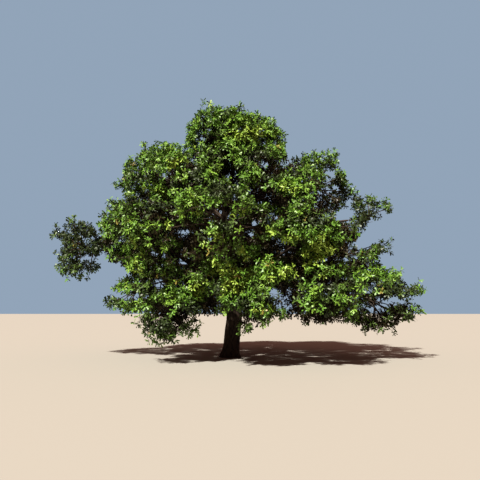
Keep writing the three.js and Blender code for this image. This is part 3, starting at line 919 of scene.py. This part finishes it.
def bend_along(piece, points):
    """Bends a straight pole along a path through these points."""
    curve = bpy.data.curves.new("route", "CURVE")
    curve.dimensions = "3D"
    spline = curve.splines.new("POLY")
    spline.points.add(len(points) - 1)
    spline.points.foreach_set("co", np.column_stack([points, np.ones(len(points))]).ravel())
    route = bpy.data.objects.new("route", curve)
    bpy.context.collection.objects.link(route)
    bend = piece.modifiers.new("bend", "CURVE")
    bend.object = route
    bend.deform_axis = "POS_Z"
    select_only(piece)
    bpy.ops.object.modifier_apply(modifier=bend.name)
    bpy.data.objects.remove(route)


def dress(piece, materials, nodes, tints=0):
    """Gives a piece its materials and its place in the frame. Tints are the material of each face."""
    piece.data.materials.clear()
    for material in materials:
        piece.data.materials.append(material)
    faces = len(piece.data.polygons)
    piece.data.polygons.foreach_set("material_index", np.broadcast_to(tints, faces).astype(np.int32))
    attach(piece, "root")
    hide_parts(*nodes)
    print(piece.name, len(piece.data.loops) - 2 * faces, "triangles")


# %% [markdown]
# ## The trunk
#
# The trunk's pole starts a little under the ground, so that the flat cut at ground level can be made last,
# with a bisect, and comes out truly flat. Its flare is five broad toes that fade out at knee height.

# %% Trunk
TRUNK_SIDES = 32
TRUNK_RING = 0.10
UNDERGROUND = 0.06
TOE_REACH = FLARE["spread"] * (1 + FLARE["toe_share"])


def root_toes(along, turn):
    """The share of a toe's reach at each point."""
    fade = np.clip(1 - (along - UNDERGROUND) / FLARE["height"], 0, 1) ** 2
    return fade * (1 + FLARE["toe_share"] * np.cos(FLARE["toes"] * turn)) / (1 + FLARE["toe_share"])


def make_trunk_bark():
    points = trunk.point(np.linspace(0, 1, PATH_POINTS))
    points[0, :2] = points[1, :2] = 0
    points = np.vstack([(0, 0, -UNDERGROUND), points])
    length = path_length(points)
    heights = np.linspace(0, length, int(length / TRUNK_RING))
    radii = trunk.radius(np.clip((heights - UNDERGROUND) / trunk.length, 0, 1))
    piece = straight_pole("oak_trunk", length, radii, TRUNK_SIDES)
    push_out(piece, "toes", TOE_REACH, root_toes(*surface_places(piece)))
    carve(piece, radii, length)
    bend_along(piece, points)
    bpy.ops.object.mode_set(mode="EDIT")
    bpy.ops.mesh.select_all(action="SELECT")
    bpy.ops.mesh.bisect(plane_co=(0, 0, 0), plane_no=(0, 0, 1), use_fill=True, clear_inner=True)
    bpy.ops.object.mode_set(mode="OBJECT")
    bpy.ops.object.shade_smooth_by_angle(angle=SMOOTH_ANGLE)
    return piece


dress(make_trunk_bark(), [bark], ["trunk"])

# %% [markdown]
# ## The boughs
#
# Each bough is one tapering limb with a swollen collar where it leaves its carrier. Its foot starts in the
# carrier's middle, so no gap shows. The boughs of a tier are joined into one piece.

# %% Boughs
BOUGH_SIDES = 8
BOUGH_RING = 0.16
COLLAR_SWELL = 0.5
COLLAR_LENGTH = 0.2
FEWEST_RINGS = 6


def make_bough_bark(limb):
    points = limb.point(np.linspace(0, 1, PATH_POINTS))
    ways = np.linspace(0, 1, max(FEWEST_RINGS, int(limb.length / BOUGH_RING)))
    radii = limb.radius(ways) * (1 + COLLAR_SWELL * np.exp(-ways * limb.length / COLLAR_LENGTH))
    piece = straight_pole(f"bark_{limb.name}", limb.length, radii, BOUGH_SIDES)
    carve(piece, radii, limb.length)
    bend_along(piece, points)
    return piece


for tier_name in TIERS:
    names = [name for name in limbs if name.startswith(f"bough_{tier_name}_")]
    pieces = [make_bough_bark(limbs[name]) for name in names]
    select_only(pieces[0])
    for piece in pieces:
        piece.select_set(True)
    bpy.ops.object.join()
    boughs = bpy.context.object
    boughs.name = f"oak_boughs_{tier_name}"
    bpy.ops.object.shade_smooth_by_angle(angle=SMOOTH_ANGLE)
    dress(boughs, [bark], names)

# %% [markdown]
# ## Many small tubes at once
#
# There are thousands of twigs, and adding each as an object of its own would take minutes. They are worked
# out as tables of points instead: every twig is a bend from one point to another, with a few rings round it
# and a flat cap at each end.

# %% Tubes
def quadratic(start, bend, end, way):
    """The point some way along each curve from start to end that leans out to bend."""
    way = np.asarray(way)[..., None]
    return (1 - way) ** 2 * start + 2 * (1 - way) * way * bend + way**2 * end


def heading(start, bend, end, way):
    """The direction of each curve some way along."""
    way = np.asarray(way)[..., None]
    return unit((1 - way) * (bend - start) + way * (end - bend))


def tube_table(start, bend, end, from_radius, to_radius, sides, steps):
    """Vertices and triangles of many bent tubes."""
    t = np.linspace(0, 1, steps + 1)
    start, bend, end = (each[:, None] for each in (start, bend, end))
    centres = quadratic(start, bend, end, t)
    along = heading(start, bend, end, t)
    side = square_to(np.broadcast_to(beside(along[:, :1]), along.shape), along)
    face = np.cross(along, side)
    radius = (from_radius + (to_radius - from_radius) * t)[:, None, None]
    turn = (np.arange(sides) * 2 * math.pi / sides)[:, None]
    ring = np.cos(turn) * side[:, :, None] + np.sin(turn) * face[:, :, None]
    points = (centres[:, :, None] + radius * ring).reshape(-1, 3)

    here = np.arange(sides)
    after = (here + 1) % sides
    wall = []
    for step in range(steps):
        low, high = step * sides, (step + 1) * sides
        wall.append(np.stack([low + here, low + after, high + after], axis=1))
        wall.append(np.stack([low + here, high + after, high + here], axis=1))
    fan = np.arange(1, sides - 1)
    far = steps * sides
    foot_cap = np.stack([np.zeros_like(fan), fan + 1, fan], axis=1)
    tip_cap = np.stack([np.full_like(fan, far), far + fan, far + fan + 1], axis=1)
    faces = np.vstack([*wall, foot_cap, tip_cap])
    offsets = np.arange(len(centres)) * sides * (steps + 1)
    return points, (faces + offsets[:, None, None]).reshape(-1, 3)


# %% [markdown]
# ## Spikes and meshes
#
# The finest shoots are only a few millimetres thick, so a spike of four triangles does for each. All the
# tables of one mass are then joined and become one mesh, which keeps the scene quick.

# %% Spikes and meshes
def spike_table(foot, tip, radius):
    """Vertices and triangles of many three-sided spikes, for the finest shoots."""
    along = unit(tip - foot)
    side = beside(along)
    face = np.cross(along, side)
    turn = (np.arange(3) * 2 * math.pi / 3)[:, None]
    ring = foot[:, None] + radius * (np.cos(turn) * side[:, None] + np.sin(turn) * face[:, None])
    points = np.concatenate([ring, tip[:, None]], axis=1).reshape(-1, 3)
    faces = np.array([(0, 2, 1), (0, 1, 3), (1, 2, 3), (2, 0, 3)])
    return points, (faces + 4 * np.arange(len(foot))[:, None, None]).reshape(-1, 3)


def joined(tables):
    """Several tables of points and triangles as one."""
    offset = 0
    all_faces = []
    for points, faces in tables:
        all_faces.append(faces + offset)
        offset += len(points)
    return np.vstack([points for points, _ in tables]), np.vstack(all_faces)


def mesh_piece(name, points, faces):
    """A piece made from a table of points and a table of triangles."""
    mesh = bpy.data.meshes.new(name)
    mesh.vertices.add(len(points))
    mesh.vertices.foreach_set("co", points.astype(np.float32).ravel())
    mesh.loops.add(faces.size)
    mesh.loops.foreach_set("vertex_index", faces.astype(np.int32).ravel())
    mesh.polygons.add(len(faces))
    mesh.polygons.foreach_set("loop_start", np.arange(0, faces.size, 3, dtype=np.int32))
    mesh.polygons.foreach_set("use_smooth", np.ones(len(faces), bool))
    piece = bpy.data.objects.new(name, mesh)
    bpy.context.collection.objects.link(piece)
    mesh.update()
    mesh.validate()
    return piece


# %% [markdown]
# ## Branchlets
#
# The rule is the model's. A stem runs from the bough's tip to the heart of the mass, and branchlets spread
# evenly from it into the mass's own room. Here the rule is carried on: there are more branchlets, and each
# bends. Short ones also stand on the bare part of each limb, and one goes from its mass's stem to each front
# clump.

# %% Branchlets
BRANCHLETS_PER_AREA = 0.95
BRANCHLET_END = 0.80
BRANCHLET_STARTS = 0.45
BRANCHLET_BEND = 0.12
FULL_LENGTH_BRANCHLETS = 6
START_SHIFT = 0.3
SWAY = 0.05
ARRIVAL = 0.98
STEM_BEND_SHARE = 0.4
LEAST_REACH = 0.35
INNER_SPACING = 0.26
INNER_START = 0.12
INNER_START_ON_TRUNK = 0.80
INNER_LENGTH = (0.45, 0.95)
INNER_TILT = (0.6, 1.3)
INNER_BEND = 0.08
SHORT_WAY = 0.01
FRONT_START = 0.8
FRONT_RISE = 0.15


def grow_branchlets(mass, draw):
    """The stem and the branchlets of one mass."""
    before, tip = mass.limb.point(np.array([ARRIVAL, 1]))
    arriving = unit(tip - before)
    stem_bend = tip + arriving * np.linalg.norm(mass.heart - tip) * STEM_BEND_SHARE
    area = 4 * math.pi * np.prod(mass.half) ** (2 / 3)
    count = round(area * BRANCHLETS_PER_AREA * mass.habit["fullness"])
    directions = even_directions(count, unit(mass.heart - tip))
    reach = free_reach(mass, directions)
    number = np.arange(count)
    hollow = mass.habit["hollow"]
    depth = hollow + (1 - hollow) * np.sqrt(fraction(number * GOLDEN))
    depth[:FULL_LENGTH_BRANCHLETS] = 1
    end = mass.heart + directions * (reach * BRANCHLET_END * depth)[:, None]
    kept = (reach > LEAST_REACH) & ~in_opening(end)
    number, end = number[kept], end[kept]
    way = BRANCHLET_STARTS + (1 - BRANCHLET_STARTS) * fraction(number * GOLDEN + START_SHIFT)
    start = quadratic(tip, stem_bend, mass.heart, way)
    bend = (start + end) / 2 + arriving * BRANCHLET_BEND + draw.normal(0, SWAY, end.shape)
    return (tip, stem_bend, mass.heart), (start, bend, end)


def grow_front_branchlets(stem, ends):
    """The branchlets from a mass's stem to the clumps that stand out in front."""
    start = quadratic(*stem, np.full(len(ends), FRONT_START))
    return start, (start + ends) / 2 + UP * FRONT_RISE, ends


def grow_inner_branchlets(limb, draw):
    """Short leafy branchlets on the bare part of a limb, which fill the inner crown."""
    first = INNER_START_ON_TRUNK if limb is trunk else INNER_START
    count = int(limb.length * (1 - first) / INNER_SPACING)
    way = first + (1 - first) * (np.arange(count) + draw.random(count)) / count
    start = limb.point(way)
    along = unit(limb.point(np.minimum(way + SHORT_WAY, 1)) - limb.point(way - SHORT_WAY))
    direction = tilted(along, draw.uniform(*INNER_TILT, count), np.arange(count) * GOLDEN_TURN)
    end = start + direction * draw.uniform(*INNER_LENGTH, count)[:, None]
    bend = (start + end) / 2 + along * INNER_BEND
    kept = inner_room(end)
    return start[kept], bend[kept], end[kept]


# %% [markdown]
# ## Clumps of twigs
#
# Each branchlet ends in a clump of twigs that leave it at golden turns. A clump is wider than it is high, as
# oak twigs reach for the light, and the space between the clumps stays dark. A twig whose tip has no room is
# shortened twice, and then left out.

# %% Twigs
TWIG_START = 0.62
TWIG_LENGTH = (0.22, 0.44)
TWIG_TILT = (0.6, 1.35)
TWIG_BEND = (0.75, 0.35)
TWIG_FLATNESS = 0.6
TWIG_LIFT = 0.14
LEADER_SHARE = 1.7
LEADER_TILT = 0.1
ANY_TURN = (0, 6.28)  # radians, a full turn
SHORTENINGS = 2
SHORTER = 0.65
CLUMP_HEART = 0.85


def grow_twigs(branchlets, twigs, fits, draw):
    """A clump of twigs at the end of each branchlet. The last twig carries on from its end."""
    start, bend, end = (np.repeat(each, twigs, axis=0) for each in branchlets)
    count = len(start)
    number = np.tile(np.arange(twigs), count // twigs)
    way = TWIG_START + (1 - TWIG_START) * (number + 1) / twigs
    foot = quadratic(start, bend, end, way)
    along = heading(start, bend, end, way)
    last = number == twigs - 1
    tilt = np.where(last, LEADER_TILT, draw.uniform(*TWIG_TILT, count))
    turn = number * GOLDEN_TURN + np.repeat(draw.uniform(*ANY_TURN, count // twigs), twigs)
    direction = unit(tilted(along, tilt, turn) * (1, 1, TWIG_FLATNESS) + UP * TWIG_LIFT)
    length = draw.uniform(*TWIG_LENGTH, count) * np.where(last, LEADER_SHARE, 1)
    tip = foot + direction * length[:, None]
    for _ in range(SHORTENINGS):
        length = np.where(fits(tip), length, length * SHORTER)
        tip = foot + direction * length[:, None]
    kept = fits(tip)
    middle = foot + (TWIG_BEND[0] * direction + TWIG_BEND[1] * along) * (length / 2)[:, None]
    home = quadratic(start, bend, end, np.full(count, CLUMP_HEART))
    return foot[kept], middle[kept], tip[kept], home[kept]


# %% [markdown]
# ## A lobed leaf
#
# An oak leaf is widest past its middle and has lobes: three widths along its length give that outline in six
# triangles. It arches, and its sides fold up a little. It is made once, at a length of 1, and every leaf of
# the tree is a copy of it.

# %% One leaf
LEAF_OUTLINE = [(0.32, 0.15), (0.50, 0.085), (0.76, 0.21)]  # along, half width
LEAF_ARCH = 0.22
LEAF_FOLD = 0.25


def leaf_template():
    """A leaf of length 1 along Y, with its upper side towards +Z."""
    points = [(0, 0)]
    for along, half in LEAF_OUTLINE:
        points += [(-half, along), (half, along)]
    points.append((0, 1))
    points = np.array(points, float)
    across, along = points[:, 0], points[:, 1]
    lift = LEAF_FOLD * np.abs(across) - LEAF_ARCH * along**2
    faces = [(0, 2, 1)]
    for pair in range(len(LEAF_OUTLINE) - 1):
        left, right = 1 + 2 * pair, 2 + 2 * pair
        faces += [(left, right, right + 2), (left, right + 2, left + 2)]
    faces.append((len(points) - 3, len(points) - 2, len(points) - 1))
    return np.column_stack([across, along, lift]), np.array(faces)


LEAF_POINTS, LEAF_FACES = leaf_template()
print("a leaf has", len(LEAF_FACES), "triangles")

# %% [markdown]
# ## Sprays
#
# An oak bears its leaves in bunches at the ends of short shoots. The leaves turn their faces up and out of
# their clump, to the light. They are a little larger than life, so that a million triangles fill the crown.

# %% Sprays
SHOOTS = (0.35, 0.6, 0.8, 1.0)
SHOOT_LENGTH = (0.05, 0.11)
SHOOT_RADIUS = 0.004
SHOOT_TILT = (0.6, 1.2)
LAST_SHOOT_TILT = 0.15
SHOOT_LIFT = 0.15
LEAVES_PER_SPRAY = 6
LEAF_LENGTH = (0.112, 0.158)
LEAF_TILT = (0.5, 1.55)
LEAF_DROOP = 0.12
LEAF_SETBACK = (0, 0.05)
FACING_UP = 0.8
FACING_OUT = 0.8
FACING_CHANCE = 0.6


def grow_sprays(twigs, fits, draw):
    """Where each spray sits, which way its shoot points, and the heart of its clump."""
    start, bend, end, home = (np.repeat(each, len(SHOOTS), axis=0) for each in twigs)
    count = len(start)
    way = np.tile(SHOOTS, count // len(SHOOTS))
    foot = quadratic(start, bend, end, way)
    along = heading(start, bend, end, way)
    tilt = np.where(way == SHOOTS[-1], LAST_SHOOT_TILT, draw.uniform(*SHOOT_TILT, count))
    direction = unit(tilted(along, tilt, draw.uniform(0, 2 * math.pi, count)) + UP * SHOOT_LIFT)
    tip = foot + direction * draw.uniform(*SHOOT_LENGTH, count)[:, None]
    kept = fits(tip)
    return foot[kept], direction[kept], tip[kept], home[kept]


def leaf_table(sprays, tints, draw):
    """Vertices, triangles and tint of every leaf on some sprays."""
    _, shoot, tip, home = (np.repeat(each, LEAVES_PER_SPRAY, axis=0) for each in sprays)
    count = len(tip)
    number = np.tile(np.arange(LEAVES_PER_SPRAY), count // LEAVES_PER_SPRAY)
    first_turn = np.repeat(draw.uniform(*ANY_TURN, count // LEAVES_PER_SPRAY), LEAVES_PER_SPRAY)
    turn = number * GOLDEN_TURN + first_turn
    direction = unit(tilted(shoot, draw.uniform(*LEAF_TILT, count), turn) - UP * LEAF_DROOP)
    facing = UP * FACING_UP + unit(tip - home) * FACING_OUT + draw.normal(0, FACING_CHANCE, direction.shape)
    normal = square_to(facing, direction)
    across = np.cross(direction, normal)
    base = tip - shoot * draw.uniform(*LEAF_SETBACK, count)[:, None]
    length = draw.uniform(*LEAF_LENGTH, count)[:, None, None]
    shape = LEAF_POINTS[:, :1] * across[:, None] + LEAF_POINTS[:, 1:2] * direction[:, None]
    shape += LEAF_POINTS[:, 2:] * normal[:, None]
    points = (base[:, None] + length * shape).reshape(-1, 3)
    offsets = np.arange(count) * len(LEAF_POINTS)
    faces = (LEAF_FACES + offsets[:, None, None]).reshape(-1, 3)
    return points, faces, np.repeat(tints, LEAVES_PER_SPRAY * len(LEAF_FACES))


# %% [markdown]
# ## Tints in drifts
#
# The tints come in drifts, as they do on the tree: a slow wave through the crown sets how fresh the green is,
# each clump has its own step up or down, and each spray its own. The more of the sky the crown hides from a
# spray, the darker its leaves are painted, down to dark green and, deep inside, to brown: that is painted
# shade.
# In front, some patches are painted lighter, as painted sunlight on clumps, and others darker, as painted
# shade
# in dips: they are ovals in the picture too, each with its step in tint. Here and there a spray is rusty.

# %% Tints of the sprays
# Painted shade: the more of the sky the crown hides from a spray, the darker its tint.
SKY_RISE = 0.3
SKY_DIRECTIONS = [(math.cos(turn), math.sin(turn), SKY_RISE) for turn in np.arange(8) * math.pi / 4]
SKY_REACHES = (0.45, 1.0)
BASE_TINT = 2.0
INNER_SHADE = 3.0
SHADE_STARTS = 0.68
BROWN_SHARE = 0.86
DRIFT = 0.06
DRIFT_WAVES = [((1.3, 0, 0.6), 0), ((0, -1, 1.9), 1)]  # radians per metre right, back and up, start
CLUMP_SPREAD = 0.68
CLUMP_SHUFFLE = np.array([127.1, 311.7, 74.7])
SHUFFLE_SCALE = 43758.5453
SPRAY_SPREAD = 0.6
RUSTY_CHANCE = 0.004
PATCHES_BACK = 1.0
# Painted light and shade: a positive step paints sunlight on a clump, a negative one paints shade in a dip.
PAINTED_LIGHT_AND_SHADE_PATCHES = [  # across, down, half width, half height, step in tint
    (222, 258, 125, 42, 0.9), (247, 133, 28, 12, 2.6), (229, 166, 9, 7, 3.0), (178, 165, 13, 11, 2.0),
    (148, 190, 28, 10, 2.0), (167, 196, 9, 9, 2.6), (198, 214, 12, 14, 2.8), (162, 225, 16, 9, 2.2),
    (286, 187, 28, 9, 1.3), (241, 214, 16, 14, 2.6), (277, 209, 10, 8, 3.2), (271, 232, 8, 14, 2.4),
    (289, 237, 12, 9, 2.8), (324, 243, 12, 15, 3.6), (311, 253, 14, 15, 3.8), (220, 236, 12, 8, 2.8),
    (170, 246, 18, 9, 2.4), (129, 249, 20, 14, 2.6), (250, 251, 17, 9, 3.2), (218, 265, 16, 13, 3.6),
    (181, 276, 8, 7, 1.8), (198, 289, 13, 13, 3.4), (166, 268, 20, 11, 2.2), (139, 268, 15, 16, 2.8),
    (236, 286, 14, 9, 3.0), (285, 270, 18, 12, 1.8), (168, 299, 14, 8, 1.8), (130, 303, 11, 9, 2.6),
    (314, 295, 8, 9, 1.6), (265, 307, 16, 7, 2.2),
    (266, 178, 9, 9, -2.2), (256, 156, 16, 10, -2.8), (195, 173, 10, 9, -2.6), (217, 158, 7, 7, -2.0),
    (222, 190, 20, 9, -3.4), (143, 178, 8, 7, -2.4), (134, 199, 15, 6, -2.0), (157, 205, 14, 7, -2.2),
    (224, 222, 14, 8, -3.0), (203, 234, 10, 7, -2.0), (188, 254, 10, 6, -2.0), (306, 192, 8, 9, -1.8),
    (332, 184, 10, 17, -2.6), (350, 201, 15, 12, -2.8), (316, 220, 22, 9, -3.2), (350, 255, 10, 13, -3.2),
    (279, 264, 8, 10, -2.6), (256, 265, 10, 7, -2.6), (256, 284, 9, 6, -2.0), (244, 302, 12, 8, -2.4),
    (279, 300, 20, 10, -4.0), (217, 286, 7, 10, -3.0), (196, 311, 22, 12, -3.4), (165, 324, 18, 10, -2.2),
    (145, 327, 16, 19, -2.0), (106, 303, 12, 9, -1.8), (150, 289, 22, 9, -1.8), (330, 286, 9, 9, -3.0),
    (346, 280, 16, 8, -1.8), (82, 247, 34, 30, -1.4), (368, 220, 16, 18, -2.8), (386, 250, 10, 8, -2.2),
    (400, 293, 22, 16, -2.2), (376, 306, 15, 13, -3.8), (408, 315, 12, 10, -1.6),
]


def share_hidden(points):
    """How much of the sky the crown hides from each point."""
    hidden = np.zeros(len(points))
    for direction in SKY_DIRECTIONS:
        for reach in SKY_REACHES:
            hidden += in_crown(points + np.array(direction) * reach)
    return hidden / (len(SKY_DIRECTIONS) * len(SKY_REACHES))


def spray_tints(mass, sprays, draw):
    """The tint of each spray: a step on the row of greens, or one of the special ones."""
    _, _, tips, homes = sprays
    drift = sum(np.sin(tips @ np.array(waves) + start) for waves, start in DRIFT_WAVES)
    clump = CLUMP_SPREAD * (fraction(np.sin(homes @ CLUMP_SHUFFLE) * SHUFFLE_SCALE) - 0.5)
    # Painted shade inside the crown: the tint steps down where the crown hides more of the sky.
    hidden = share_hidden(tips)
    depth = np.clip((hidden - SHADE_STARTS) / (1 - SHADE_STARTS), 0, 1)
    step = BASE_TINT - mass.habit["shade"] - INNER_SHADE * depth + DRIFT * drift + clump
    pixels = seen_at(tips)
    # Painted light and shade in front, oval by oval.
    for *oval, change in PAINTED_LIGHT_AND_SHADE_PATCHES:
        step += change * within_oval(pixels, *oval) * (tips[:, 1] < PATCHES_BACK)
    step += draw.normal(0, SPRAY_SPREAD, len(tips))
    tint = np.clip(np.round(step), SHADE_BROWN, SUNNY)
    # Painted shade: brown only where the crown hides nearly all the sky, dark green elsewhere.
    tint = np.where((tint == SHADE_BROWN) & (hidden < BROWN_SHARE), PAINTED_SHADE_GREEN, tint)
    return np.where(draw.random(len(tips)) < RUSTY_CHANCE, RUSTY, tint).astype(int)


# The fresher and duller patches are painted light and painted shade.
print(len(PAINTED_LIGHT_AND_SHADE_PATCHES), "patches of fresher and duller green")

# %% [markdown]
# ## Grow every mass
#
# Each mass grows from its own seed, so that it stays the same whatever the others do: first its branchlets of
# all three kinds, and then the twigs and sprays of each kind. Its wood becomes one piece and its leaves
# another, and both stand for its one solid of the model.

# %% Grow the crown
FIRST_SEED = 41
STEM_RADII = (0.030, 0.024)
BRANCHLET_RADII = (0.022, 0.010)
TWIG_RADII = (0.0085, 0.004)
FRONT_TWIGS = 12


def stacked(tables):
    return tuple(np.concatenate(parts) for parts in zip(*tables))


def grow_mass(index, mass):
    """All the twigs and all the leaves of one mass, as two pieces."""
    draw = np.random.default_rng(FIRST_SEED + index)
    stem, branchlets = grow_branchlets(mass, draw)
    growth = []
    for starts, count, fits in (
        (branchlets, mass.habit["twigs"], partial(leafy_room, mass)),
        (grow_inner_branchlets(mass.limb, draw), USUAL_HABIT["twigs"], inner_room),
        (grow_front_branchlets(stem, front_clumps[front_owners == index]), FRONT_TWIGS, crown_room),
    ):
        twigs = grow_twigs(starts, count, fits, draw)
        growth.append((starts, twigs, grow_sprays(twigs, fits, draw)))
    branchlets, twigs, sprays = (stacked(tables) for tables in zip(*growth))
    foot, _, tip, _ = sprays
    stem = [each[None] for each in stem]
    wood = joined([
        tube_table(*stem, *STEM_RADII, sides=6, steps=5),
        tube_table(*branchlets, *BRANCHLET_RADII, sides=5, steps=4),
        tube_table(*twigs[:3], *TWIG_RADII, sides=3, steps=2),
        spike_table(foot, tip, SHOOT_RADIUS),
    ])
    points, faces, tints = leaf_table(sprays, spray_tints(mass, sprays, draw), draw)
    node = f"foliage_{mass.name}"
    dress(mesh_piece(f"twigs_{mass.name}", *wood), [twig_bark], [node])
    dress(mesh_piece(f"leaves_{mass.name}", points, faces), leaf_materials, [node], tints)
    return len(tip)


spray_count = sum(grow_mass(index, mass) for index, mass in enumerate(masses))
print(spray_count, "sprays,", spray_count * LEAVES_PER_SPRAY, "leaves")
